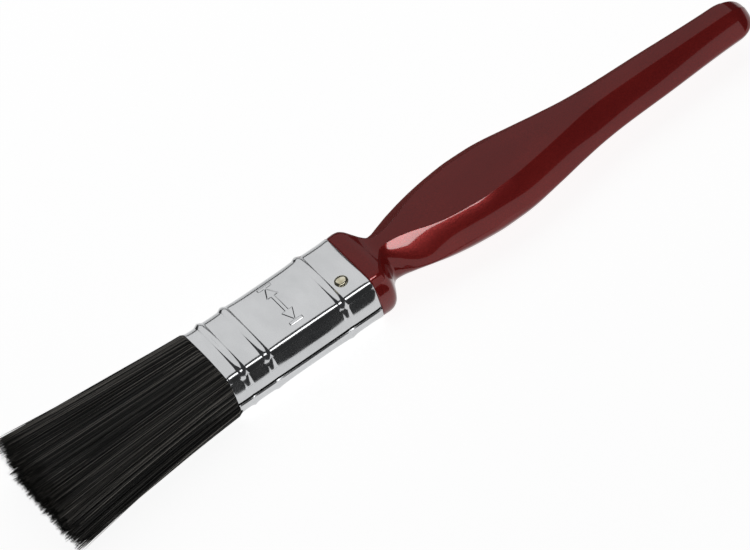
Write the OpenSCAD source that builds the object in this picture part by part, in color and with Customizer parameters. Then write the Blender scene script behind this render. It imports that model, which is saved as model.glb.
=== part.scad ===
// Flat paint brush, 19 mm, lying on its back face. Millimetres.
// X runs from the bristle tips to the handle's tail, Y is the width and Z the thickness.
// The origin is under the middle of the brush, on the surface that it lies on.

/* [Ferrule] */
// Outside width of the ferrule, which is the brush's nominal size
ferrule_w = 19; // [16:0.5:25]
// Outside thickness of the ferrule
ferrule_t = 11.4; // [10.5:0.1:13]
// Length of the ferrule, from its mouth to the handle's shoulder
ferrule_l = 35; // [34:1:45]
// Outside corner radius of the ferrule
ferrule_r = 3.2; // [2.6:0.1:4]
// Thickness of the ferrule's sheet metal
sheet_t = 0.35; // [0.25:0.05:0.5]
// Width of a rolled bead
bead_w = 1.9; // [1.6:0.1:2.4]
// Height of a rolled bead above the sheet
bead_h = 0.4; // [0.3:0.05:0.5]
// Height of the raised width mark above the sheet
mark_h = 0.2; // [0.1:0.05:0.3]

/* [Bristles] */
// Length of bristle that shows beyond the ferrule
bristle_out = 42.5; // [30:0.5:55]
// Width of the bristles at their tips
tip_w = 27; // [22:0.5:30]
// Thickness of the bristles at their tips
tip_t = 14; // [13:0.5:16]
// Width of the spacer plug between the two banks of bristle
plug_w = 13; // [10:0.5:13.5]
// Thickness of the spacer plug
plug_t = 3; // [2:0.5:4]

/* [Handle] */
// Length of handle that shows beyond the ferrule
handle_out = 100; // [90:1:130]
// Width and thickness of the handle at its neck
neck_size = [10.5, 9.6]; // [8:0.1:12]
// Width and thickness of the handle's belly
belly_size = [22, 10.2]; // [8:0.2:24]
// Width and thickness where the tail starts
tail_size = [13.3, 9.4]; // [8:0.1:14]
// Width and thickness just before the tail's round end
end_size = [10, 8.1]; // [6:0.1:11]

/* [Nails] */
// Diameter of a nail's head
nail_head_d = 3; // [2.5:0.1:3.5]
// Height of a nail's domed head
nail_head_h = 0.8; // [0.5:0.1:1]
// Diameter of a nail's shank
nail_d = 1.4; // [1.2:0.1:1.6]
// Length of a nail under its head
nail_l = 7; // [6:0.5:9]
// Distance of each nail from the brush's centre line
nail_side = 4.2; // [3:0.2:5]

/* [Hidden] */
$fn = 48;

// Stations along X
brush_l = bristle_out + ferrule_l + handle_out;
tip_x = -brush_l / 2;
mouth_x = tip_x + bristle_out;
heel_x = mouth_x + ferrule_l;
tail_x = brush_l / 2;
bead_x = [mouth_x + 3.55, mouth_x + 9.35, heel_x - 7.35];
nail_x = heel_x - 4.3;
mark_x = (bead_x[1] + bead_x[2]) / 2;
tenon_x = heel_x - 14;
root_x = tenon_x - 9;
plug_end_x = mouth_x + 1.5;

// The brush's long axis is this high above the surface
axis_z = tip_t / 2;

// Inside of the ferrule
bore_w = ferrule_w - 2 * sheet_t;
bore_t = ferrule_t - 2 * sheet_t;
bore_r = ferrule_r - sheet_t;

// A bead is an arc of this radius, with its centre this deep under the sheet's face
bead_r = (bead_w * bead_w / 4 + bead_h * bead_h) / (2 * bead_h);
bead_drop = bead_r - bead_h;

// It fades out over this length, and ends this far under the sheet's face
fade_l = 3;
fade_sink = 0.06;

// Where it fades over a corner, the sheet drops away from its straight end by this much
corner_fade_l = 1.5;
corner_drop = ferrule_r - sqrt(pow(ferrule_r, 2) - pow(corner_fade_l, 2));

// Lap seam along one narrow side
seam_z = -1.7;
seam_gap = 0.35;
seam_depth = 0.15;
lip_r = 0.2;

// Raised width mark: a double arrow between two end bars
mark_size = [3, 12.8];
mark_line = 0.75;
arrow_l = 3;
arrow_w = 2.6;

// Bristle banks stand this far off the metal, the plug and each other
bank_clear = 0.12;
bank_corner_r = [2.6, 3];
bank_bulge = 0.25;
closed_out = 0.6;

// ---- Helpers ----

function mix(a, b, u) = a + (b - a) * u;
function ease(u) = (1 - cos(180 * u)) / 2;
function span(x, a, b) = (x - a) / (b - a);

// Rounded rectangle, width along 2D x and thickness along 2D y
module rounded_rect(w, t, r) {
    square([w - 2 * r, t], center = true);
    square([w, t - 2 * r], center = true);
    for (side = [-1, 1], face = [-1, 1])
        translate([side * (w / 2 - r), face * (t / 2 - r)])
            circle(r);
}

// Bar of rounded-rectangle section along the brush's axis
module bar(x0, x1, w, t, r) {
    translate([x0, 0, axis_z])
        rotate([90, 0, 90])
            linear_extrude(x1 - x0)
                rounded_rect(w, t, r);
}

// Solid skin over rings that follow each other towards +X, all with as many points
module loft(rings) {
    n = len(rings[0]);
    last = len(rings) - 1;
    points = [for (ring = rings) each ring];
    walls = [
        for (i = [0 : last - 1], j = [0 : n - 1])
            [i * n + j, (i + 1) * n + j, (i + 1) * n + (j + 1) % n, i * n + (j + 1) % n]
    ];
    start = [for (j = [0 : n - 1]) j];
    end = [for (j = [n - 1 : -1 : 0]) last * n + j];
    polyhedron(points, concat([start], walls, [end]), convexity = 4);
}

// ---- Handle ----

shoulder_x = heel_x + 1.6;
neck_x = heel_x + 6.9;
belly_x = heel_x + 31.5;
waist_x = heel_x + 62.8;
cap_l = 4.8;
cap_x = tail_x - cap_l;
shoulder_size = [ferrule_w, ferrule_t];

// Width and height of the rounded corners of the handle's section at each of its stations
shoulder_corner = [ferrule_r, ferrule_r];
neck_corner = [4.7, 4.5];
belly_corner = [8.5, 4.9];
tail_corner = [5.6, 4.5];
end_corner = [4.6, 3.9];

// Value at x, from the values at the shoulder, neck, belly, waist and tail
function along(x, shoulder, neck, belly, waist, tail) =
    x < shoulder_x ? shoulder
    : x < neck_x ? mix(shoulder, neck, ease(span(x, shoulder_x, neck_x)))
    : x < belly_x ? mix(neck, belly, sin(90 * span(x, neck_x, belly_x)))
    : x < waist_x ? mix(belly, waist, ease(span(x, belly_x, waist_x)))
    : mix(waist, tail, span(min(x, cap_x), waist_x, cap_x));

function handle_size(x) =
    along(x, shoulder_size, neck_size, belly_size, tail_size, end_size) / 2;

function handle_corner(x) =
    along(x, shoulder_corner, neck_corner, belly_corner, tail_corner, end_corner);

// One ring of the handle: a rectangle with elliptic corners, shrunk by k on the round end
function handle_ring(x, k = 1) =
    let (half = handle_size(x) * k, corner_size = handle_corner(x) * k)
    [
        for (corner = [0 : 3], step = [0 : 7])
            let (
                a = 90 * corner + 90 * step / 7,
                side = corner == 0 || corner == 3 ? 1 : -1,
                face = corner < 2 ? 1 : -1
            )
            [
                x,
                side * (half[0] - corner_size[0]) + corner_size[0] * cos(a),
                axis_z + face * (half[1] - corner_size[1]) + corner_size[1] * sin(a)
            ]
    ];

handle_xs = concat(
    [heel_x, shoulder_x],
    [for (i = [1 : 7]) mix(shoulder_x, neck_x, i / 7)],
    [for (i = [1 : 11]) mix(neck_x, belly_x, i / 11)],
    [for (i = [1 : 10]) mix(belly_x, waist_x, i / 10)],
    [for (i = [1 : 3]) mix(waist_x, cap_x, i / 3)]
);
cap_turn = 85;

module handle() {
    rings = concat(
        [for (x = handle_xs) handle_ring(x)],
        [for (i = [1 : 5]) handle_ring(cap_x + cap_l * sin(cap_turn * i / 6), cos(cap_turn * i / 6))],
        [handle_ring(tail_x, cos(cap_turn))]
    );
    color([0.38, 0.15, 0.15])
        difference() {
            union() {
                loft(rings);
                bar(tenon_x, heel_x, bore_w, bore_t, bore_r);
            }
            nail_shank(1);
            nail_shank(-1);
        }
}

// ---- Ferrule ----

// Straight stretch of a bead, with its end radii
module bead_run(from, turn, l, r0, r1) {
    translate(from)
        rotate(turn)
            cylinder(h = l, r1 = r0, r2 = r1);
}

// Quarter turn of a bead round a corner of the ferrule
module bead_corner(side, face, r) {
    first = side > 0 ? (face > 0 ? 0 : 270) : (face > 0 ? 90 : 180);
    translate([0, side * (ferrule_w / 2 - ferrule_r), face * (ferrule_t / 2 - ferrule_r)])
        rotate([90, 0, 90])
            rotate([0, 0, first])
                rotate_extrude(angle = 90)
                    translate([ferrule_r - bead_drop, 0])
                        circle(r);
}

// A bead runs round the ferrule, and fades out above the seam and over the corner under it
module bead(x, r, r_end) {
    y = ferrule_w / 2 - bead_drop;
    z = ferrule_t / 2 - bead_drop;
    flat_y = ferrule_w / 2 - ferrule_r;
    flat_z = ferrule_t / 2 - ferrule_r;
    translate([x, 0, axis_z]) {
        bead_run([0, -y, flat_z], [180, 0, 0], fade_l, r, r_end);
        bead_corner(-1, 1, r);
        bead_run([0, -flat_y, z], [-90, 0, 0], 2 * flat_y, r, r);
        bead_corner(1, 1, r);
        bead_run([0, y, -flat_z], [0, 0, 0], 2 * flat_z, r, r);
        bead_corner(1, -1, r);
        bead_run([0, flat_y, -z], [90, 0, 0], 2 * flat_y, r, r);
        bead_run([0, -flat_y, -z], [90, 0, 0], corner_fade_l, r, r_end - corner_drop);
    }
}

// Lip of the folded sheet edge under the seam, whose groove cuts its top flat
module seam_lip() {
    translate([mouth_x, -ferrule_w / 2 + lip_r / 3, axis_z + seam_z - seam_gap / 2 - lip_r / 2])
        rotate([0, 90, 0])
            cylinder(h = ferrule_l, r = lip_r);
}

module seam_groove() {
    translate([mouth_x - 1, -ferrule_w / 2 - 1, axis_z + seam_z - seam_gap / 2])
        cube([ferrule_l + 2, 1 + seam_depth, seam_gap]);
}

// Raised mark on the front panel that shows where the width is measured
module width_mark() {
    half = mark_size[1] / 2;
    translate([mark_x, 0, axis_z + ferrule_t / 2 - sheet_t / 2])
        linear_extrude(sheet_t / 2 + mark_h) {
            square([mark_line, mark_size[1] - 3 * mark_line], center = true);
            for (side = [-1, 1]) {
                translate([0, side * (half - mark_line / 2)])
                    square([mark_size[0], mark_line], center = true);
                polygon([
                    [0, side * (half - mark_line / 2)],
                    [arrow_w / 2, side * (half - arrow_l)],
                    [-arrow_w / 2, side * (half - arrow_l)]
                ]);
            }
        }
}

module ferrule() {
    color([0.8, 0.81, 0.82])
        difference() {
            union() {
                bar(mouth_x, heel_x, ferrule_w, ferrule_t, ferrule_r);
                for (x = bead_x)
                    bead(x, bead_r, bead_drop - fade_sink);
                seam_lip();
                width_mark();
            }
            bar(mouth_x - 1, heel_x + 1, bore_w, bore_t, bore_r);
            for (x = bead_x)
                bead(x, bead_r - sheet_t, bead_drop - sheet_t - fade_sink);
            seam_groove();
            nail_shank(1);
            nail_shank(-1);
        }
}

// ---- Nails ----

// Shank of the nail on the front face (1) or the back face (-1)
module nail_shank(face) {
    translate([nail_x, -face * nail_side, axis_z + face * ferrule_t / 2])
        rotate([face > 0 ? 180 : 0, 0, 0])
            cylinder(h = nail_l, d = nail_d);
}

// Domed head: the cap of a sphere, cut off at the ferrule's face
module nail_head(face) {
    dome_r = (nail_head_d * nail_head_d / 4 + nail_head_h * nail_head_h) / (2 * nail_head_h);
    translate([nail_x, -face * nail_side, axis_z + face * ferrule_t / 2])
        rotate([face > 0 ? 0 : 180, 0, 0])
            intersection() {
                translate([0, 0, nail_head_h - dome_r])
                    sphere(dome_r);
                cylinder(h = nail_head_h, d = nail_head_d);
            }
}

module nail(face) {
    color([0.78, 0.76, 0.66]) {
        nail_head(face);
        nail_shank(face);
    }
}

module nail_front() nail(1);
module nail_back() nail(-1);

// ---- Inside the ferrule ----

module resin_setting() {
    color([0.75, 0.62, 0.35])
        bar(root_x, tenon_x, bore_w, bore_t, bore_r);
}

module spacer_plug() {
    color([0.8, 0.68, 0.5])
        translate([plug_end_x, -plug_w / 2, axis_z - plug_t / 2])
            cube([root_x - plug_end_x, plug_w, plug_t]);
}

// ---- Bristles ----

// Ring of a bank: a flat inner face and rounded outer corners
function bank_ring(x, half, outer, r, face) =
    let (
        arcs = [
            for (side = [1, -1], step = [0 : 7])
                let (a = side > 0 ? 90 * step / 7 : 90 + 90 * step / 7)
                [x, side * (half - r) + r * cos(a), outer - r + r * sin(a)]
        ],
        ring = concat([[x, -half, bank_clear], [x, half, bank_clear]], arcs)
    )
    face > 0
        ? [for (p = ring) [p[0], p[1], axis_z + p[2]]]
        : [for (i = [len(ring) - 1 : -1 : 0]) [ring[i][0], ring[i][1], axis_z - ring[i][2]]];

// Space for the plug and the paint reservoir beyond it, which closes towards the tips
module reservoir() {
    half = plug_t / 2 + bank_clear;
    closed_x = mix(mouth_x, tip_x, closed_out);
    translate([0, plug_w / 2 + bank_clear, axis_z])
        rotate([90, 0, 0])
            linear_extrude(plug_w + 2 * bank_clear)
                polygon([
                    [root_x + 1, -half],
                    [root_x + 1, half],
                    [mouth_x, half],
                    [closed_x, 0],
                    [mouth_x, -half]
                ]);
}

// A bank leaves the ferrule straight and then fans out to its tips
module bristle_bank(face) {
    steps = 8;
    root_half = bore_w / 2 - bank_clear;
    root_outer = bore_t / 2 - bank_clear;
    fan = [
        for (i = [steps : -1 : 0])
            let (u = i / steps, swell = bank_bulge * sin(180 * u))
            bank_ring(
                mix(mouth_x, tip_x, u),
                mix(root_half, tip_w / 2, u) + swell,
                mix(root_outer, tip_t / 2, u) + swell,
                mix(bank_corner_r[0], bank_corner_r[1], u),
                face
            )
    ];
    root = bank_ring(root_x, root_half, root_outer, bank_corner_r[0], face);
    color([0.1, 0.1, 0.1])
        difference() {
            loft(concat(fan, [root]));
            reservoir();
        }
}

module bristles_front() bristle_bank(1);
module bristles_back() bristle_bank(-1);

handle();
ferrule();
nail_front();
nail_back();
resin_setting();
spacer_plug();
bristles_front();
bristles_back();
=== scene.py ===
import math

import bpy
import numpy as np
from mathutils import Matrix, Vector


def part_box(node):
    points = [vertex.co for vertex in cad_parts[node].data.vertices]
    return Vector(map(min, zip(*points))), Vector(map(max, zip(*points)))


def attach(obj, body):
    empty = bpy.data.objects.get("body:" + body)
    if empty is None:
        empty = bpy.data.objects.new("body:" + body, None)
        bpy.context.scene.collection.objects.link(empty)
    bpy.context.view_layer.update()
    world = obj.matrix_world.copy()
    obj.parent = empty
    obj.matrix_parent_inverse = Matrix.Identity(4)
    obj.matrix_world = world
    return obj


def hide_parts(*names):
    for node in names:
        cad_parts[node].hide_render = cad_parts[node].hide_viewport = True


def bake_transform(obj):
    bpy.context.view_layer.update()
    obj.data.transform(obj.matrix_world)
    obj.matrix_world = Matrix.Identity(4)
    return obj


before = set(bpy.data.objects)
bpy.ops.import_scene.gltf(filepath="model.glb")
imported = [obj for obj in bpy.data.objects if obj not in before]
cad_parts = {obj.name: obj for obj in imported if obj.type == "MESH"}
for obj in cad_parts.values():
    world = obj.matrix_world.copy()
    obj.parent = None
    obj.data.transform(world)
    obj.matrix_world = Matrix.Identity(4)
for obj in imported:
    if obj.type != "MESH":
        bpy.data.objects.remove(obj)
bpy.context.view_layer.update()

# ---- Places and sizes from the frame ----

MM = 0.001

handle_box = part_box("handle")
ferrule_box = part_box("ferrule")
bank_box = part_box("bristles_front")
nail_boxes = {1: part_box("nail_front"), -1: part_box("nail_back")}

tail_x = handle_box[1].x
mouth_x = ferrule_box[0].x
heel_x = ferrule_box[1].x
tip_x = bank_box[0].x
axis_z = (ferrule_box[0].z + ferrule_box[1].z) / 2

# ---- Sizes that the pieces share ----

BEAD_H = 0.4 * MM
SHEET_T = 0.35 * MM
ferrule_half = np.array([ferrule_box[1].y - BEAD_H, ferrule_box[1].z - axis_z - BEAD_H])
bore_half = ferrule_half - SHEET_T


# ---- Small maths ----

def mix(a, b, u):
    return a + (b - a) * u


def span(x, a, b):
    return np.clip((x - a) / (b - a), 0, 1)


def smooth(u):
    return u * u * (3 - 2 * u)


# ---- Making pieces ----

def make_piece(name, points, faces, material):
    mesh = bpy.data.meshes.new(name)
    mesh.from_pydata([tuple(p) for p in points], [], faces)
    mesh.materials.append(material)
    mesh.shade_smooth()
    piece = bpy.data.objects.new(name, mesh)
    bpy.context.scene.collection.objects.link(piece)
    return piece


def tube_faces(rows, columns, closed=False):
    """Quads over a grid of points whose columns go round. With closed, the last row joins the first."""
    faces = []
    for i in range(rows if closed else rows - 1):
        here, there = i * columns, (i + 1) % rows * columns
        for j in range(columns):
            k = (j + 1) % columns
            faces.append((here + j, there + j, there + k, here + k))
    return faces


def fan_faces(start, centre, columns):
    """Triangles between a ring of points, which begins at start, and a centre point."""
    return [(start + j, centre, start + (j + 1) % columns) for j in range(columns)]


# ---- Materials ----

def new_material(name):
    """A material with its node tree and its Principled shader."""
    material = bpy.data.materials.new(name)
    material.use_nodes = True
    tree = material.node_tree
    return material, tree, tree.nodes["Principled BSDF"]


def add_node(tree, kind, **settings):
    node = tree.nodes.new("ShaderNode" + kind)
    for key, value in settings.items():
        if key in node.inputs:
            node.inputs[key].default_value = value
        else:
            setattr(node, key, value)
    return node


def object_noise(tree, scale, stretch=(1, 1, 1), detail=3.0, roughness=0.5):
    """Noise fixed to the piece, drawn out where stretch is small. Returns its value socket."""
    place = add_node(tree, "TexCoord")
    mapping = add_node(tree, "Mapping")
    mapping.inputs["Scale"].default_value = stretch
    noise = add_node(tree, "TexNoise", Scale=scale, Detail=detail, Roughness=roughness)
    tree.links.new(place.outputs["Object"], mapping.inputs["Vector"])
    tree.links.new(mapping.outputs["Vector"], noise.inputs["Vector"])
    return noise.outputs["Fac"]


def color_ramp(tree, factor, stops):
    ramp = add_node(tree, "ValToRGB")
    elements = ramp.color_ramp.elements
    while len(elements) < len(stops):
        elements.new(0.5)
    for element, (position, color) in zip(elements, stops):
        element.position = position
        element.color = (*color, 1)
    tree.links.new(factor, ramp.inputs["Fac"])
    return ramp.outputs["Color"]


def value_range(tree, factor, low, high, start=0.0, end=1.0):
    change = add_node(tree, "MapRange")
    change.inputs["From Min"].default_value = start
    change.inputs["From Max"].default_value = end
    change.inputs["To Min"].default_value = low
    change.inputs["To Max"].default_value = high
    tree.links.new(factor, change.inputs["Value"])
    return change.outputs["Result"]


def add_bump(tree, shader, height, distance, strength=1.0):
    node = add_node(tree, "Bump", Strength=strength, Distance=distance)
    tree.links.new(height, node.inputs["Height"])
    tree.links.new(node.outputs["Normal"], shader.inputs["Normal"])


def lacquer():
    """Burgundy lacquer with a fine pearl fleck under a clear coat."""
    material, tree, shader = new_material("lacquer")
    fleck = object_noise(tree, 5200, detail=2)
    cloud = object_noise(tree, 140, stretch=(0.4, 1, 1), detail=4)
    both = add_node(tree, "Mix", data_type="FLOAT")
    both.inputs["Factor"].default_value = 0.35
    tree.links.new(fleck, both.inputs["A"])
    tree.links.new(cloud, both.inputs["B"])
    color = color_ramp(tree, both.outputs["Result"], [
        (0.34, (0.118, 0.006, 0.006)),
        (0.52, (0.158, 0.009, 0.008)),
        (0.70, (0.210, 0.014, 0.012)),
    ])
    tree.links.new(color, shader.inputs["Base Color"])
    tree.links.new(value_range(tree, fleck, 0.16, 0.24, 0.35, 0.65), shader.inputs["Roughness"])
    shader.inputs["Metallic"].default_value = 0.38
    shader.inputs["Specular IOR Level"].default_value = 0.1
    shader.inputs["Coat Weight"].default_value = 0.85
    shader.inputs["Coat Roughness"].default_value = 0.035
    add_bump(tree, shader, object_noise(tree, 420, detail=1), 0.00001, 0.12)
    return material


def nickel():
    """Bright nickel plate with fine handling marks."""
    material, tree, shader = new_material("nickel")
    haze = object_noise(tree, 160, stretch=(1, 0.5, 1), detail=5, roughness=0.6)
    color = color_ramp(tree, haze, [
        (0.30, (0.65, 0.66, 0.67)),
        (0.70, (0.74, 0.75, 0.76)),
    ])
    tree.links.new(color, shader.inputs["Base Color"])
    tree.links.new(value_range(tree, haze, 0.10, 0.16, 0.3, 0.7), shader.inputs["Roughness"])
    shader.inputs["Metallic"].default_value = 1.0
    return material


def seam_painted_shade():
    """Painted shade: the near-black inside of the ferrule's seam, coloured dark to stand in for the shadow in
    its groove.
    """
    material, tree, shader = new_material("seam_painted_shade")
    color = color_ramp(tree, object_noise(tree, 1500, detail=2), [
        (0.35, (0.006, 0.006, 0.006)),
        (0.70, (0.020, 0.018, 0.016)),
    ])
    tree.links.new(color, shader.inputs["Base Color"])
    shader.inputs["Roughness"].default_value = 0.8
    return material


def pale_brass():
    """Nail metal: a polished pale brass wash, duller in the hollows of its noise."""
    material, tree, shader = new_material("pale_brass")
    haze = object_noise(tree, 900, detail=4)
    color = color_ramp(tree, haze, [
        (0.30, (0.50, 0.45, 0.30)),
        (0.65, (0.80, 0.76, 0.60)),
    ])
    tree.links.new(color, shader.inputs["Base Color"])
    tree.links.new(value_range(tree, haze, 0.22, 0.08, 0.3, 0.7), shader.inputs["Roughness"])
    shader.inputs["Metallic"].default_value = 1.0
    add_bump(tree, shader, haze, 0.00002, 0.4)
    return material


def bristle():
    """Near-black bristle. Each filament carries its own tone."""
    material, tree, shader = new_material("bristle")
    tone = add_node(tree, "Attribute", attribute_name="tone")
    color = color_ramp(tree, tone.outputs["Fac"], [
        (0.00, (0.003, 0.003, 0.003)),
        (0.40, (0.014, 0.014, 0.013)),
        (0.65, (0.065, 0.063, 0.058)),
        (1.00, (0.330, 0.310, 0.280)),
    ])
    tree.links.new(color, shader.inputs["Base Color"])
    tree.links.new(value_range(tree, tone.outputs["Fac"], 0.62, 0.36), shader.inputs["Roughness"])
    shader.inputs["Specular IOR Level"].default_value = 0.25
    return material


def resin():
    """Amber cast resin."""
    material, tree, shader = new_material("resin")
    cloud = object_noise(tree, 220, detail=4)
    color = color_ramp(tree, cloud, [
        (0.30, (0.34, 0.18, 0.045)),
        (0.70, (0.55, 0.34, 0.11)),
    ])
    tree.links.new(color, shader.inputs["Base Color"])
    tree.links.new(value_range(tree, cloud, 0.18, 0.32, 0.3, 0.7), shader.inputs["Roughness"])
    return material


def bare_wood():
    """Sawn softwood with its grain along the brush."""
    material, tree, shader = new_material("bare_wood")
    grain = object_noise(tree, 900, stretch=(0.05, 1, 1), detail=5, roughness=0.65)
    color = color_ramp(tree, grain, [
        (0.32, (0.42, 0.26, 0.13)),
        (0.68, (0.68, 0.50, 0.31)),
    ])
    tree.links.new(color, shader.inputs["Base Color"])
    tree.links.new(value_range(tree, grain, 0.8, 0.6, 0.3, 0.7), shader.inputs["Roughness"])
    add_bump(tree, shader, grain, 0.00008, 0.6)
    return material


# ---- Handle ----

# Stations from the heel, in mm: distance, half width, half thickness, half width of the flat front,
# and the slope in degrees at which the flank leaves the ridge
HANDLE_STATIONS = np.array([
    [0.0, 9.65, 5.80, 6.95, 0],
    [1.6, 9.70, 5.84, 6.95, 0],
    [2.6, 9.68, 5.80, 6.60, 0],
    [3.6, 9.38, 5.58, 5.70, 4],
    [4.6, 8.02, 5.22, 4.20, 10],
    [5.6, 6.12, 4.96, 2.80, 18],
    [6.6, 5.48, 4.88, 1.70, 24],
    [8.0, 6.05, 4.86, 1.50, 28],
    [10.2, 7.28, 4.88, 1.75, 31],
    [14.0, 8.84, 4.96, 2.95, 33.8],
    [17.0, 9.55, 5.02, 4.26, 34.2],
    [20.5, 10.15, 5.05, 5.36, 34.0],
    [25.0, 10.80, 5.10, 6.10, 33.3],
    [30.5, 11.27, 5.13, 6.52, 32.6],
    [35.0, 11.30, 5.13, 6.35, 33.0],
    [45.0, 10.08, 5.05, 5.00, 38],
    [51.5, 8.80, 4.96, 3.76, 41],
    [58.0, 7.74, 4.88, 2.57, 40],
    [63.0, 7.24, 4.84, 2.16, 39],
    [74.0, 6.72, 4.68, 1.96, 38],
    [95.2, 5.58, 4.24, 1.72, 38],
    [100.0, 5.58, 4.24, 1.72, 38],
])

# How far the flank keeps its direction after the ridge and before the middle of the side, and how
# much the front face is crowned, as a share of its half width
RIDGE_FULLNESS = 0.50
SIDE_FULLNESS = 0.74
FACE_CROWN = 0.12 / 7
FACE_SHARES = (0, 0.2, 0.4, 0.6, 0.75, 0.87, 0.94, 0.975)
FLANK_STEPS = 26
FLANK_SPACING = 1.3

# The heel's edge is rounded by HEEL_TUCK over the first HEEL_EDGE_MM of the handle
HEEL_TUCK = 0.25 * MM
HEEL_EDGE_MM = 0.3
CAP_L = 5.4 * MM
cap_x = tail_x - 0.25 * MM


def smooth_table(x, stations):
    """Values between stations by monotone cubic pieces, so that the outline has no kinks."""
    xs, values = stations[:, 0], stations[:, 1:]
    steps = np.diff(xs)[:, None]
    slopes = np.diff(values, axis=0) / steps
    tangents = np.zeros_like(values)
    same_way = slopes[:-1] * slopes[1:] > 0
    weighted = (steps[:-1] + steps[1:]) / (steps[:-1] / np.where(same_way, slopes[1:], 1)
                                          + steps[1:] / np.where(same_way, slopes[:-1], 1))
    tangents[1:-1] = np.where(same_way, weighted, 0)
    i = np.clip(np.searchsorted(xs, x, side="right") - 1, 0, len(xs) - 2)
    h = (xs[i + 1] - xs[i])[:, None]
    u = ((x - xs[i]) / (xs[i + 1] - xs[i]))[:, None]
    rise = values[i + 1] - values[i]
    return (values[i] + rise * u * u * (3 - 2 * u)
            + h * (tangents[i] * u * (1 - u) ** 2 - tangents[i + 1] * u * u * (1 - u)))


def flank(half_w, half_t, flat, slope):
    """Quarter of a section, from the middle of the front to the middle of the side."""
    crown = FACE_CROWN * flat
    face = [(flat * u, half_t - crown * u * u) for u in FACE_SHARES]
    start = np.array([flat, half_t - crown])
    end = np.array([half_w, 0])
    fall = min((half_w - flat) * math.tan(math.radians(slope)), half_t * 0.8)
    corner = np.array([half_w, start[1] - fall])
    first = mix(start, corner, RIDGE_FULLNESS)
    last = mix(end, corner, SIDE_FULLNESS)
    side = []
    for t in np.linspace(0, 1, FLANK_STEPS + 1)[:-1] ** FLANK_SPACING:
        u = 1 - t
        side.append(u ** 3 * start + 3 * u * u * t * first + 3 * u * t * t * last + t ** 3 * end)
    return np.array(face + [tuple(p) for p in side] + [tuple(end)])


def handle_ring(x, half_w, half_t, flat, slope):
    quarter = flank(half_w, half_t, flat, slope)
    front = np.concatenate([quarter, quarter[-2::-1] * [1, -1]])
    ring = np.concatenate([front, front[-2:0:-1] * [-1, 1]])
    return np.column_stack([np.full(len(ring), x), ring[:, 0], axis_z + ring[:, 1]])


def make_handle(material):
    straight = (cap_x - CAP_L - heel_x) / MM
    along = np.concatenate([
        [0.0, 0.12, HEEL_EDGE_MM],
        np.linspace(0.6, 12, 40),
        np.linspace(12.4, straight, 130),
    ])
    rows = smooth_table(along, HANDLE_STATIONS) * [MM, MM, MM, 1]
    rings = []
    for x, (half_w, half_t, flat, slope) in zip(along, rows):
        tuck = HEEL_TUCK * (1 - span(x, 0, HEEL_EDGE_MM)) ** 2
        rings.append(handle_ring(heel_x + x * MM, half_w - tuck, half_t - tuck, flat, slope))
    half_w, half_t, flat, slope = rows[-1]
    for turn in np.radians(np.linspace(6, 84, 14)):
        x = cap_x - CAP_L * (1 - math.sin(turn))
        k = math.cos(turn)
        rings.append(handle_ring(x, half_w * k, half_t * k, flat * k, slope))

    columns = len(rings[0])
    ends = np.array([[cap_x, 0, axis_z], [heel_x, 0, axis_z]])
    points = np.concatenate([*rings, ends])
    faces = tube_faces(len(rings), columns)
    faces += fan_faces((len(rings) - 1) * columns, len(points) - 2, columns)
    faces += [face[::-1] for face in fan_faces(0, len(points) - 1, columns)]
    handle = make_piece("handle_lacquered", points, faces, material)
    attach(handle, "stock")
    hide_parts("handle")
    return handle


# ---- Ferrule ----

bead_xs = [mouth_x + 3.55 * MM, mouth_x + 9.35 * MM, heel_x - 7.35 * MM]
BEAD_W = 1.9 * MM
BEAD_SOFT = 0.16 * MM

# The beads are lower on the far side, and they fade out between these shares of the near wall
# and of the corner under it
BEAD_FAR_SHARE = 0.7
BEAD_NEAR_FADE = (0.38, 0.54)
BEAD_BACK_FADE = (0.4, 1)

# The ferrule's section: where its flat walls end, how much they are crowned, and how much more
# all that swells in the middle of a panel between beads
WALL_HALF = ferrule_half - np.array([0.12, 0.0]) * MM
WALL_FLAT = WALL_HALF - 2.4 * MM
WALL_CROWN = np.array([0.22, 0.13]) * MM
SWELL_FLAT = np.array([-0.35, -0.30]) * MM
SWELL_CROWN = np.array([0.10, 0.24]) * MM
CORNER_REACH = 0.62
INNER_FIT = 0.02 * MM

# How many lines along the ferrule each part of its section has
LINES = {"near": 22, "corner": 29, "front": 146, "far": 13, "back": 41}

# The seam from above it to below it: height over its middle, and how far the sheet stands out.
# The groove is coloured with painted shade, and the ledge under it is the edge of the folded sheet.
SEAM_Z = -1.4 * MM
SEAM = np.array([
    [0.55, 0.0],
    [0.42, 0.0],
    [0.34, -0.01],
    [0.30, -0.05],
    [0.28, -0.28],
    [-0.24, -0.28],
    [-0.26, -0.07],
    [-0.28, -0.05],
    [-0.46, 0.21],
    [-0.48, 0.225],
    [-0.52, 0.225],
    [-0.65, 0.19],
    [-1.05, 0.11],
    [-1.75, 0.0],
]) * MM
SEAM_TOP = 0.75 * MM
GROOVE_HALF = 0.25 * MM
SEAM_CREASES = (-0.53 * MM, 0.29 * MM)

# How far the sheet curls in at each end, and over what length
MOUTH_ROLL, MOUTH_ROLL_L = 0.10 * MM, 0.1 * MM
HEEL_ROLL, HEEL_ROLL_L = 0.16 * MM, 1.1 * MM
HEEL_EDGE_ROLL, HEEL_EDGE_L = 0.08 * MM, 0.1 * MM
NAIL_DISH_H, NAIL_DISH_R = 0.10 * MM, 1.9 * MM

# Raised width mark: a double arrow between two end bars
MARK_H = 0.16 * MM
MARK_EDGE = 0.3 * MM
MARK_SIZE = np.array([3.0, 12.8]) * MM
MARK_LINE = 0.75 * MM
ARROW_L = 3.0 * MM
ARROW_W = 2.6 * MM
mark_x = (bead_xs[1] + bead_xs[2]) / 2


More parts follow.
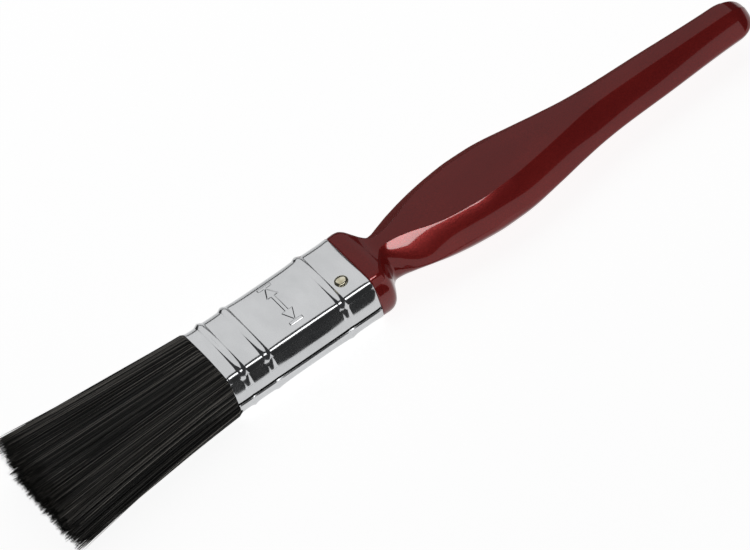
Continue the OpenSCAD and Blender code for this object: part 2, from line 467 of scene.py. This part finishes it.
def ferrule_columns():
    """Where the lines along the ferrule go: the name of a wall or corner, and a share of its length."""
    lower = [-WALL_FLAT[1], *(SEAM_Z + SEAM[::-1, 0])]
    upper = np.linspace(SEAM_Z + SEAM_TOP, WALL_FLAT[1], LINES["near"])
    corner = np.linspace(0, 1, LINES["corner"] + 2)[1:-1]
    columns = [("near", z / WALL_FLAT[1]) for z in [*lower, *upper]]
    columns += [("near_front", u) for u in corner]
    columns += [("front", u) for u in np.linspace(-1, 1, LINES["front"])]
    columns += [("far_front", u) for u in 1 - corner]
    columns += [("far", u) for u in np.linspace(1, -1, LINES["far"])]
    columns += [("far_back", u) for u in corner]
    columns += [("back", u) for u in np.linspace(1, -1, LINES["back"])]
    columns += [("near_back", u) for u in 1 - corner]
    return columns


def side_wall(u, flat, crown):
    """Point and normal of a side wall. The seam's lines keep their heights, and the last quarter moves."""
    wall = WALL_FLAT[1] if abs(u) < 0.75 else mix(WALL_FLAT[1], flat[1], (abs(u) - 0.75) * 4)
    z = u * wall
    share = z / flat[1]
    point = np.array([WALL_HALF[0] + crown[0] * (1 - share ** 2), z])
    return point, np.array([1, 2 * crown[0] * share / flat[1]])


def face_wall(u, flat, crown):
    """Point and normal of the front or back."""
    point = np.array([u * flat[0], WALL_HALF[1] + crown[1] * (1 - u * u)])
    return point, np.array([2 * crown[1] * u / flat[0], 1])


def corner_curve(u, flat, crown):
    """Point and normal of a corner, a cubic curve that leaves the side wall and meets the face smoothly."""
    start = np.array([WALL_HALF[0], flat[1]])
    end = np.array([flat[0], WALL_HALF[1]])
    reach = CORNER_REACH * (end[1] - start[1])
    first = start + reach * np.array([-2 * crown[0] / flat[1], 1])
    last = end + reach * np.array([1, -2 * crown[1] / flat[0]])
    t = 1 - u
    point = t ** 3 * start + 3 * t * t * u * first + 3 * t * u * u * last + u ** 3 * end
    along = t * t * (first - start) + 2 * t * u * (last - first) + u * u * (end - last)
    return point, np.array([along[1], -along[0]])


def ferrule_point(name, u, swell):
    """Point of the section and its outward normal. Corners run from a side wall to the front or back."""
    flat = WALL_FLAT + swell * SWELL_FLAT
    crown = WALL_CROWN + swell * SWELL_CROWN
    if name in ("near", "far"):
        side = np.array([1 if name == "far" else -1, 1])
        point, normal = side_wall(u, flat, crown)
    elif name in ("front", "back"):
        side = np.array([1, 1 if name == "front" else -1])
        point, normal = face_wall(u, flat, crown)
    else:
        side = np.array([1 if "far" in name else -1, 1 if "front" in name else -1])
        point, normal = corner_curve(u, flat, crown)
    return side * point, side * normal / math.hypot(*normal)


def bead_profile(x):
    """Height of the beads over the sheet, 0 to 1. An arc with its feet rounded off."""
    total = np.zeros_like(x)
    shifts = np.linspace(-BEAD_SOFT, BEAD_SOFT, 9)
    for shift in shifts:
        for centre in bead_xs:
            u = (x + shift - centre) / (BEAD_W / 2)
            total += np.clip(1 - u * u, 0, None) / len(shifts)
    return total


def bead_strength(name, u):
    """How much of a bead shows on a line of the ferrule, 0 to 1."""
    if name == "near":
        return float(smooth(span(u, *BEAD_NEAR_FADE)))
    if name == "near_back":
        return float(smooth(span(u, *BEAD_BACK_FADE)))
    if name == "front":
        return mix(1, BEAD_FAR_SHARE, (u + 1) / 2)
    if name == "near_front":
        return 1.0
    return BEAD_FAR_SHARE


def panel_crown(x):
    """0 at a bead or an edge of the ferrule and 1 in the middle of the panel between them."""
    edges = np.array([mouth_x, *bead_xs, heel_x])
    i = np.clip(np.searchsorted(edges, x) - 1, 0, len(edges) - 2)
    u = (x - edges[i]) / (edges[i + 1] - edges[i])
    return 1 - (2 * u - 1) ** 4


def mark_height(x, y):
    """Height of the width mark over the sheet at points of the front, 0 to 1, with rounded edges."""
    u, v = abs(x - mark_x), abs(y)
    half = MARK_SIZE / 2
    bar = np.maximum(u - half[0], abs(v - (half[1] - MARK_LINE / 2)) - MARK_LINE / 2)
    stem = np.maximum(u - MARK_LINE / 2, v - half[1] + ARROW_L / 2)
    tip = half[1] - MARK_LINE
    slant = math.hypot(ARROW_W / 2, ARROW_L)
    edge = (u * ARROW_L - (tip - v) * ARROW_W / 2) / slant
    arrow = np.maximum(edge, (tip - ARROW_L) - v)
    distance = np.minimum(np.minimum(bar, stem), arrow)
    return smooth(np.clip(0.5 - distance / MARK_EDGE, 0, 1))


def ferrule_stations():
    """Stations along the ferrule, close together over the beads and the mark."""
    edges = [0.0, 0.03, 0.08, 0.16, 0.3]
    near_mouth = mouth_x + np.array(edges) * MM
    near_heel = heel_x - np.array(edges[::-1]) * MM
    beads = [centre + np.linspace(-1.25, 1.25, 31) * MM for centre in bead_xs]
    mark = mark_x + np.linspace(-1.75, 1.75, 38) * MM
    fill = np.arange(mouth_x + 0.6 * MM, heel_x - 1.2 * MM, 0.8 * MM)
    heel = heel_x - np.array([1.2, 1.0, 0.8, 0.6, 0.45]) * MM
    close = np.concatenate([*beads, mark])
    fill = np.array([x for x in fill if abs(close - x).min() > 0.3 * MM])
    return np.unique(np.round(np.concatenate([near_mouth, *beads, mark, fill, heel, near_heel]), 7))


def nail_dimple(x, y):
    """Shallow dish pressed into the sheet round the front nail, 1 at the nail and 0 far from it."""
    low, high = nail_boxes[1]
    reach = np.hypot(x - (low.x + high.x) / 2, y - (low.y + high.y) / 2)
    return np.exp(-(reach / NAIL_DISH_R) ** 2)


def outer_detail(xs, y, z, name):
    """What the outer face has on the sheet: the mark, the nail's dish, the seam and the curled ends."""
    curl = MOUTH_ROLL * (1 - span(xs, mouth_x, mouth_x + MOUTH_ROLL_L)) ** 2
    curl += HEEL_ROLL * span(xs, heel_x - HEEL_ROLL_L, heel_x) ** 2
    curl += HEEL_EDGE_ROLL * span(xs, heel_x - HEEL_EDGE_L, heel_x) ** 2
    if name == "front":
        return MARK_H * mark_height(xs, y) - NAIL_DISH_H * nail_dimple(xs, y) - curl
    if name == "near":
        return np.interp(z - SEAM_Z, SEAM[::-1, 0], SEAM[::-1, 1]) - curl
    return -curl


def color_seam(ferrule, columns, outer_rows, rows):
    """Gives the groove the painted-shade material, and the seam's small faces flat shading."""
    heights = [u * WALL_FLAT[1] - SEAM_Z if name == "near" else math.inf for name, u in columns]
    in_groove = [abs(h) < GROOVE_HALF for h in heights]
    creased = [SEAM_CREASES[0] < h < SEAM_CREASES[1] for h in heights]
    dark = [a or b for a, b in zip(in_groove, in_groove[1:] + in_groove[:1])]
    flat = [a and b for a, b in zip(creased, creased[1:] + creased[:1])]
    indices = np.zeros(rows * len(columns), dtype=np.int32)
    indices[:(outer_rows - 1) * len(columns)] = np.tile(dark, outer_rows - 1)
    ferrule.data.polygons.foreach_set("material_index", indices)
    ferrule.data.polygons.foreach_set("use_smooth", ~np.tile(flat, rows))


def make_ferrule(material, dark):
    columns = ferrule_columns()
    xs = ferrule_stations()
    inner_xs = xs[::-3]
    all_xs = np.concatenate([xs, inner_xs])
    outer = np.arange(len(all_xs)) < len(xs)
    swell = panel_crown(all_xs)[:, None]
    points = np.zeros((len(all_xs), len(columns), 3))
    points[:, :, 0] = all_xs[:, None]
    for j, (name, u) in enumerate(columns):
        plain, plain_normal = ferrule_point(name, u, 0)
        full, full_normal = ferrule_point(name, u, 1)
        place = mix(plain, full, swell)
        normal = mix(plain_normal, full_normal, swell)
        detail = outer_detail(all_xs, place[:, 0], place[:, 1], name)
        offset = BEAD_H * bead_strength(name, u) * bead_profile(all_xs)
        offset = offset + np.where(outer, detail, INNER_FIT - SHEET_T)
        points[:, j, 1:] = place + normal * offset[:, None]
    points[:, :, 2] += axis_z
    faces = tube_faces(len(all_xs), len(columns), closed=True)
    ferrule = make_piece("ferrule_shell", points.reshape(-1, 3), faces, material)
    # The second slot is painted shade for the seam's groove
    ferrule.data.materials.append(dark)
    color_seam(ferrule, columns, len(xs), len(all_xs))
    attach(ferrule, "stock")
    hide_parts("ferrule")
    return ferrule


# ---- Nails ----

NAIL_HEAD_H = 0.8 * MM
NAIL_SKIRT_H = 0.20 * MM
NAIL_SHANK_R = 0.7 * MM
NAIL_POINT_L = 1.2 * MM
NAIL_TURNS = 48
NAIL_WOBBLE = 0.012


def make_nail(side, node, material):
    """A round-head nail, turned about its own axis, with a slightly uneven dome."""
    low, high = nail_boxes[side]
    centre = (low + high) / 2
    head_r = (high.x - low.x) / 2
    base = high.z - NAIL_HEAD_H if side > 0 else low.z + NAIL_HEAD_H
    length = high.z - low.z - NAIL_HEAD_H
    profile = [
        (NAIL_SHANK_R * 0.4, -length),
        (NAIL_SHANK_R, -length + NAIL_POINT_L),
        (NAIL_SHANK_R, -0.1 * MM),
        (head_r * 0.96, -0.10 * MM),
        (head_r, 0.02 * MM),
        (head_r * 0.985, 0.14 * MM),
    ]
    for a in np.radians(np.linspace(8, 84, 12)):
        height = NAIL_SKIRT_H + (NAIL_HEAD_H - NAIL_SKIRT_H) * math.sin(a)
        profile.append((head_r * 0.95 * math.cos(a), height))
    points = []
    for radius, height in profile:
        for k in range(NAIL_TURNS):
            a = 2 * math.pi * k / NAIL_TURNS * side
            r = radius * (1 + NAIL_WOBBLE * math.sin(3 * a + 1) * (height > 0))
            points.append((centre.x + r * math.cos(a), centre.y + r * math.sin(a), base + side * height))
    points.append((centre.x, centre.y, base - side * length))
    points.append((centre.x, centre.y, base + side * NAIL_HEAD_H))
    top = (len(profile) - 1) * NAIL_TURNS
    faces = tube_faces(len(profile), NAIL_TURNS)
    faces += fan_faces(top, len(points) - 1, NAIL_TURNS)
    faces = [face[::-1] for face in faces]
    faces += fan_faces(0, len(points) - 2, NAIL_TURNS)
    nail = make_piece(node + "_round_head", points, faces, material)
    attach(nail, "stock")
    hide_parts(node)
    return nail


# ---- Bristles ----

# Filaments in a bank before those outside its rounded corners are left out, and their thickness
FILAMENTS = 3500
FILAMENT_R = 0.095 * MM
FILAMENT_SIDES = 3
SEEDS = {1: 11, -1: 23}

# Stations along a filament, as shares of its free length, and its thickness at each
STATIONS = (-0.03, 0.012, 0.16, 0.31, 0.46, 0.60, 0.74, 0.90, 1.0)
GIRTHS = (1.0, 1.0, 1.0, 1.0, 1.0, 1.0, 0.96, 0.80, 0.25)

# In the ferrule: the corners of a bank, the plug between the banks, and the gap to the bore.
# Just outside it the bristle swells by SWELL over SWELL_L.
ROOT_CORNER_R = 2.6 * MM
ROOT_GAP = 0.12 * MM
PLUG_HALF = np.array([6.6, 1.6]) * MM
SPLIT_HALF = 0.1 * MM
SWELL = 0.62 * MM
SWELL_L = 0.5 * MM

# At the tips: how much of the bank's end they fill, the tufts that they part into, how unevenly
# they end, and how the outermost ones splay
TIP_CORNER_R = 3.0 * MM
BODY_SHARE = 0.985
TUFT = 1.1 * MM
TUFT_PULL = 0.35
TUFT_STEP = 1.1 * MM
TIP_SCATTER_Y = 0.18 * MM
TIP_SCATTER_Z = 0.16 * MM
TIP_OVERLAP = 0.6 * MM
TIP_UNEVEN = 0.5 * MM
TIP_TAIL = 0.55 * MM
TIP_EXTRA = 0.7 * MM
SWAY = 0.10 * MM
EDGE_SHARE = 0.9
STRAY_CHANCE = 0.15
STRAY_SPLAY = 0.055
NEAR_FLARE = 1.3 * MM
NEAR_FLARE_START = 0.7

# Neighbours within CLUMP of each other at the roots share most of their tone
CLUMP = 0.32 * MM
CLUMP_TONE = 0.45


def bank_outer(y, half, corner_r):
    """Height of a bank's outer face over the brush's middle plane."""
    inset = np.clip(abs(y) - (half[0] - corner_r), 0, corner_r)
    return half[1] - corner_r + np.sqrt(np.clip(corner_r ** 2 - inset ** 2, 0, None))


def scatter(rng, half, corner_r, count):
    """Points spread evenly over a bank's end, as shares of its width and height."""
    pitch = math.sqrt(2 * half[0] * half[1] / count)
    ys, zs = np.meshgrid(np.arange(-half[0], half[0], pitch), np.arange(0, half[1], pitch))
    ys = ys.ravel() + rng.uniform(-0.5, 0.5, ys.size) * pitch
    zs = zs.ravel() + rng.uniform(-0.5, 0.5, zs.size) * pitch
    outer = bank_outer(ys, half, corner_r)
    inside = (abs(ys) < half[0] * 0.995) & (zs > 0) & (zs < outer)
    return ys[inside] / half[0], zs[inside] / outer[inside]


def clump_pull(rng, y, z, cell, strength):
    """Each point moves towards the middle of its clump, so that the tips part into tufts."""
    column = np.floor(y / cell + rng.uniform(0, 1))
    row = np.floor(z / cell + rng.uniform(0, 1))
    key = (column * 7919 + row * 104729).astype(int)
    kinds, index = np.unique(key, return_inverse=True)
    middle_y = np.bincount(index, y) / np.bincount(index)
    middle_z = np.bincount(index, z) / np.bincount(index)
    tone = rng.uniform(0, 1, len(kinds))[index]
    return mix(y, middle_y[index], strength), mix(z, middle_z[index], strength), tone


def root_places(u, v):
    """Where filaments leave the ferrule, from their shares of the bank's width and height."""
    half = bore_half - ROOT_GAP
    y = u * half[0]
    inner = np.where(abs(y) < PLUG_HALF[0], PLUG_HALF[1], SPLIT_HALF)
    outer = bank_outer(y, half, ROOT_CORNER_R) - 0.05 * MM
    return y, mix(inner, outer, v)


def plan_bank(rng):
    """Ends, sideways steps and tone of each filament of a bank, with heights over the middle plane."""
    tip_half = np.array([bank_box[1].y, bank_box[1].z - axis_z])
    u, v = scatter(rng, tip_half, TIP_CORNER_R, FILAMENTS)
    count = len(u)
    root_y, root_z = root_places(u, v)
    tip_y = u * tip_half[0] * BODY_SHARE
    tip_z = v * bank_outer(u * tip_half[0], tip_half, TIP_CORNER_R) * BODY_SHARE
    tip_y, tip_z, tuft = clump_pull(rng, tip_y, tip_z, TUFT, TUFT_PULL)
    _, _, clump = clump_pull(rng, root_y, root_z, CLUMP, 0)
    tip_y += rng.normal(0, TIP_SCATTER_Y, count)
    tip_z += rng.normal(0, TIP_SCATTER_Z, count)
    tip_z = np.clip(tip_z, -TIP_OVERLAP, tip_half[1])

    # Some of the outermost leave the rest near their tips, and the near edge flares
    stray = (np.maximum(abs(u), v) > EDGE_SHARE) & (rng.uniform(0, 1, count) < STRAY_CHANCE)
    splay = np.where(stray, rng.uniform(0, STRAY_SPLAY, count), 0)
    flare = NEAR_FLARE * span(-u, NEAR_FLARE_START, 1.0) ** 2
    short = rng.exponential(TIP_TAIL, count) + rng.uniform(0, TIP_UNEVEN, count) + TUFT_STEP * tuft
    sway = rng.normal(0, SWAY, (count, 2))
    own_tone = rng.uniform(0, 1, count)
    return {
        "u": u,
        "v": v,
        "root": (root_y, root_z),
        "tip": (tip_y, tip_z),
        "end_x": tip_x - TIP_EXTRA + short,
        "splay": (u * tip_half[0] * splay - flare, tip_z * splay),
        "sway": (sway[:, 0], sway[:, 1]),
        "tone": np.clip(mix(own_tone, clump, CLUMP_TONE), 0, 1),
        "twist": rng.uniform(0, 2 * math.pi, count),
        "radius": FILAMENT_R * rng.uniform(0.75, 1.15, count),
    }


def filament_middle(plan, s):
    """Middle of every filament of a bank at a share s of its free length."""
    x = mix(mouth_x, plan["end_x"], s)
    out = max(s, 0)
    swell = SWELL * smooth(span(mouth_x - x, 0, SWELL_L)) * (1 - out)
    middle = []
    for share, root, tip, sway, splay in zip(
            (plan["u"], plan["v"]), plan["root"], plan["tip"], plan["sway"], plan["splay"]):
        middle.append(mix(root + share * swell, tip, out) + sway * math.sin(math.pi * out) + splay * out ** 2)
    return x, *middle


def filament_faces(side, count):
    """Faces of every filament: a tube with both ends closed. The back bank is mirrored."""
    per = len(STATIONS) * FILAMENT_SIDES
    pattern = tube_faces(len(STATIONS), FILAMENT_SIDES)
    pattern.append(tuple(range(FILAMENT_SIDES))[::-1])
    pattern.append(tuple(range(per - FILAMENT_SIDES, per)))
    if side < 0:
        pattern = [face[::-1] for face in pattern]
    return [tuple(n * per + k for k in face) for n in range(count) for face in pattern]


def make_bank(side, node, material):
    """One bank of bristle, filament by filament. Its side is 1 for the front and -1 for the back."""
    plan = plan_bank(np.random.default_rng(SEEDS[side]))
    count = len(plan["tone"])
    points = np.zeros((count, len(STATIONS), FILAMENT_SIDES, 3))
    for i, (s, girth) in enumerate(zip(STATIONS, GIRTHS)):
        x, y, z = filament_middle(plan, s)
        radius = plan["radius"] * girth
        for k in range(FILAMENT_SIDES):
            a = plan["twist"] + 2 * math.pi * k / FILAMENT_SIDES
            points[:, i, k, 0] = x
            points[:, i, k, 1] = y + radius * np.cos(a)
            points[:, i, k, 2] = axis_z + side * (z + radius * np.sin(a))
    faces = filament_faces(side, count)
    bank = make_piece(node + "_filaments", points.reshape(-1, 3), faces, material)
    attribute = bank.data.attributes.new("tone", "FLOAT", "POINT")
    tones = np.repeat(plan["tone"], len(STATIONS) * FILAMENT_SIDES)
    attribute.data.foreach_set("value", tones.astype(np.float32))
    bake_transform(bank)
    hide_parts(node)
    return bank


# ---- Stage ----

# The view: how far the camera turns from the face's normal to the near side, how far it leans
# back along the brush, and how far it rolls to lay the brush across the picture
CAMERA_SIDE = 42.5
CAMERA_LEAN = 0.231
CAMERA_ROLL = 34.34
CAMERA_DISTANCE = 0.850
CAMERA_SCALE = 5004
IMAGE_WIDTH = 750
AIM = Vector((-0.00746, 0, axis_z))
AIM_DROP = 0.00194

# The cards: where two of them run beside the ferrule, how high the standing one reaches as an angle
# from overhead, and where the third lies beyond the handle
CARD_Z = 0.5 * MM
CARD_X = (mouth_x - 0.02, heel_x + 0.012)
CARD_Y = (-0.0205, -0.25)
CARD_TOP_ANGLE = 42
CARD_TOP_SPREAD = 1.4
CARD_GLOW = 0.024
FAR_CARD_L = 0.1
FAR_CARD_Y = (0.008, 0.1)
FAR_CARD_SLIDE = 0.025
FAR_CARD_GLOW = 0.11


def make_camera():
    side = math.radians(CAMERA_SIDE)
    roll = math.radians(CAMERA_ROLL)
    straight = math.sqrt(1 - CAMERA_LEAN ** 2)
    along = Vector((straight, -CAMERA_LEAN * math.sin(side), CAMERA_LEAN * math.cos(side)))
    down = Vector((0, -math.cos(side), -math.sin(side)))
    back = Vector((-CAMERA_LEAN, -straight * math.sin(side), straight * math.cos(side)))
    right = along * math.cos(roll) + down * math.sin(roll)
    up = along * math.sin(roll) - down * math.cos(roll)
    camera = bpy.data.objects.new("camera", bpy.data.cameras.new("camera"))
    bpy.context.scene.collection.objects.link(camera)
    place = AIM + down * AIM_DROP + back * CAMERA_DISTANCE
    camera.matrix_world = Matrix.Translation(place) @ Matrix((right, up, back)).transposed().to_4x4()
    camera.data.sensor_width = 36
    camera.data.lens = CAMERA_SCALE * CAMERA_DISTANCE * camera.data.sensor_width / IMAGE_WIDTH
    camera.data.clip_start = 0.01
    bpy.context.scene.camera = camera


def make_light(name, angle, width, x_range, distance, radiance, shape="RECTANGLE", only=()):
    """A soft box that runs along the brush, at an angle from overhead towards the near side.

    Its width is the angle that it spans, seen from the brush. With only, it lights just those pieces.
    """
    light = bpy.data.lights.new(name, "AREA")
    light.shape = shape
    light.size = x_range[1] - x_range[0]
    light.size_y = 2 * distance * math.tan(math.radians(width) / 2)
    area = light.size * light.size_y * (math.pi / 4 if shape == "ELLIPSE" else 1)
    light.energy = radiance * math.pi * area
    lamp = bpy.data.objects.new(name, light)
    bpy.context.scene.collection.objects.link(lamp)
    a = math.radians(angle)
    outward = Vector((0, -math.sin(a), math.cos(a)))
    lamp.location = Vector(((x_range[0] + x_range[1]) / 2, 0, axis_z)) + outward * distance
    lamp.rotation_euler = (a, 0, 0)
    lamp.visible_camera = False
    if only:
        receivers = bpy.data.collections.new(name + "_receivers")
        for piece in only:
            receivers.objects.link(piece)
        lamp.light_linking.receiver_collection = receivers
    return lamp


def make_plane(name, corners, material):
    mesh = bpy.data.meshes.new(name)
    mesh.from_pydata(corners, [], [tuple(range(len(corners)))])
    mesh.materials.append(material)
    plane = bpy.data.objects.new(name, mesh)
    bpy.context.scene.collection.objects.link(plane)
    return plane


def make_floor():
    """A matt floor that glows a little, brighter to the camera than to the brush."""
    material, tree, shader = new_material("pale_floor")
    shader.inputs["Base Color"].default_value = (0.42, 0.42, 0.42, 1)
    shader.inputs["Roughness"].default_value = 0.9
    shader.inputs["Specular IOR Level"].default_value = 0.0
    shader.inputs["Emission Color"].default_value = (1, 1, 1, 1)
    path = add_node(tree, "LightPath")
    glow = value_range(tree, path.outputs["Is Camera Ray"], 0.72, 0.92)
    tree.links.new(glow, shader.inputs["Emission Strength"])
    reach = 6.0
    corners = [(-reach, -reach, 0), (reach, -reach, 0), (reach, reach, 0), (-reach, reach, 0)]
    make_plane("floor", corners, material)


def make_card(name, corners, glow=CARD_GLOW, tint=(1, 1.02, 1.04)):
    """A dark card that only mirrors see, which keeps the bright room out of a reflection."""
    material, tree, shader = new_material(name)
    shader.inputs["Base Color"].default_value = (0.01, 0.01, 0.01, 1)
    shader.inputs["Roughness"].default_value = 1.0
    shader.inputs["Specular IOR Level"].default_value = 0.0
    shader.inputs["Emission Color"].default_value = (*tint, 1)
    shader.inputs["Emission Strength"].default_value = glow
    card = make_plane(name, corners, material)
    card.visible_camera = False
    card.visible_diffuse = False
    card.visible_shadow = False
    card.visible_transmission = False
    card.visible_volume_scatter = False


def make_cards():
    """A black card on the floor beside the ferrule, one that stands at its far end, and a dark red one
    beyond the handle. They slide along the brush as they leave it, because the camera leans that way.
    """
    start, end = CARD_X
    near_y, far_y = CARD_Y
    slide = -CAMERA_LEAN * far_y
    top = -far_y / math.tan(math.radians(CARD_TOP_ANGLE))
    make_card("low_card", [
        (start, near_y, CARD_Z),
        (start + slide, far_y, CARD_Z),
        (end + slide, far_y, CARD_Z),
        (end, near_y, CARD_Z),
    ])
    make_card("standing_card", [
        (start + slide, far_y, 0.0),
        (start + slide, far_y, top),
        (end + CARD_TOP_SPREAD * slide, far_y, top),
        (end + slide, far_y, 0.0),
    ])
    near_y, far_y = FAR_CARD_Y
    make_card("far_card", [
        (heel_x, near_y, CARD_Z),
        (heel_x + FAR_CARD_SLIDE, far_y, CARD_Z),
        (heel_x + FAR_CARD_SLIDE + FAR_CARD_L, far_y, CARD_Z),
        (heel_x + FAR_CARD_L, near_y, CARD_Z),
    ], glow=FAR_CARD_GLOW, tint=(1, 0.3, 0.28))


def make_world():
    """Pale to the camera, and a dim room to everything else."""
    world = bpy.data.worlds.new("studio")
    world.use_nodes = True
    bpy.context.scene.world = world
    tree = world.node_tree
    room = tree.nodes["Background"]
    room.inputs["Color"].default_value = (0.04, 0.04, 0.042, 1)
    pale = add_node(tree, "Background", Color=(0.9, 0.9, 0.9, 1))
    path = add_node(tree, "LightPath")
    choose = add_node(tree, "MixShader")
    tree.links.new(path.outputs["Is Camera Ray"], choose.inputs["Fac"])
    tree.links.new(room.outputs["Background"], choose.inputs[1])
    tree.links.new(pale.outputs["Background"], choose.inputs[2])
    tree.links.new(choose.outputs["Shader"], tree.nodes["World Output"].inputs["Surface"])


def make_lights(handle, plate, others):
    """The room's ceiling, strips that draw the bright lines, and walls that fill the low bands."""
    make_light("ceiling", angle=-27, width=66, x_range=(-0.27, 0.50), distance=0.5, radiance=0.36)
    make_light("plate_ceiling", angle=-27, width=66, x_range=(-0.27, 0.50), distance=0.52, radiance=0.40,
               only=[plate, *others])
    make_light("strip", angle=31.5, width=13, x_range=(-0.60, 0.25), distance=0.5, radiance=2.4,
               only=[plate, *others])
    make_light("handle_strip", angle=20.5, width=14, x_range=(-0.40, 0.17), distance=0.5, radiance=8.5,
               shape="ELLIPSE", only=[handle])
    make_light("handle_wall", angle=67.5, width=48, x_range=(-0.12, 0.30), distance=0.22, radiance=0.6,
               only=[handle])
    make_light("far_wall", angle=-80, width=22, x_range=(-0.10, 0.60), distance=0.6, radiance=0.6,
               only=[plate])


# ---- Build ----

make_camera()
handle = make_handle(lacquer())
# The ferrule's second material is painted shade for its seam's groove
ferrule = make_ferrule(nickel(), seam_painted_shade())
nail_metal = pale_brass()
nails = [make_nail(1, "nail_front", nail_metal), make_nail(-1, "nail_back", nail_metal)]
bristle_look = bristle()
banks = [make_bank(1, "bristles_front", bristle_look), make_bank(-1, "bristles_back", bristle_look)]
for node, look in (("resin_setting", resin()), ("spacer_plug", bare_wood())):
    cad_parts[node].data.materials.clear()
    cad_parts[node].data.materials.append(look)

make_floor()
make_cards()
make_world()
make_lights(handle, ferrule, [*nails, *banks])
bpy.context.scene.view_settings.view_transform = "Standard"
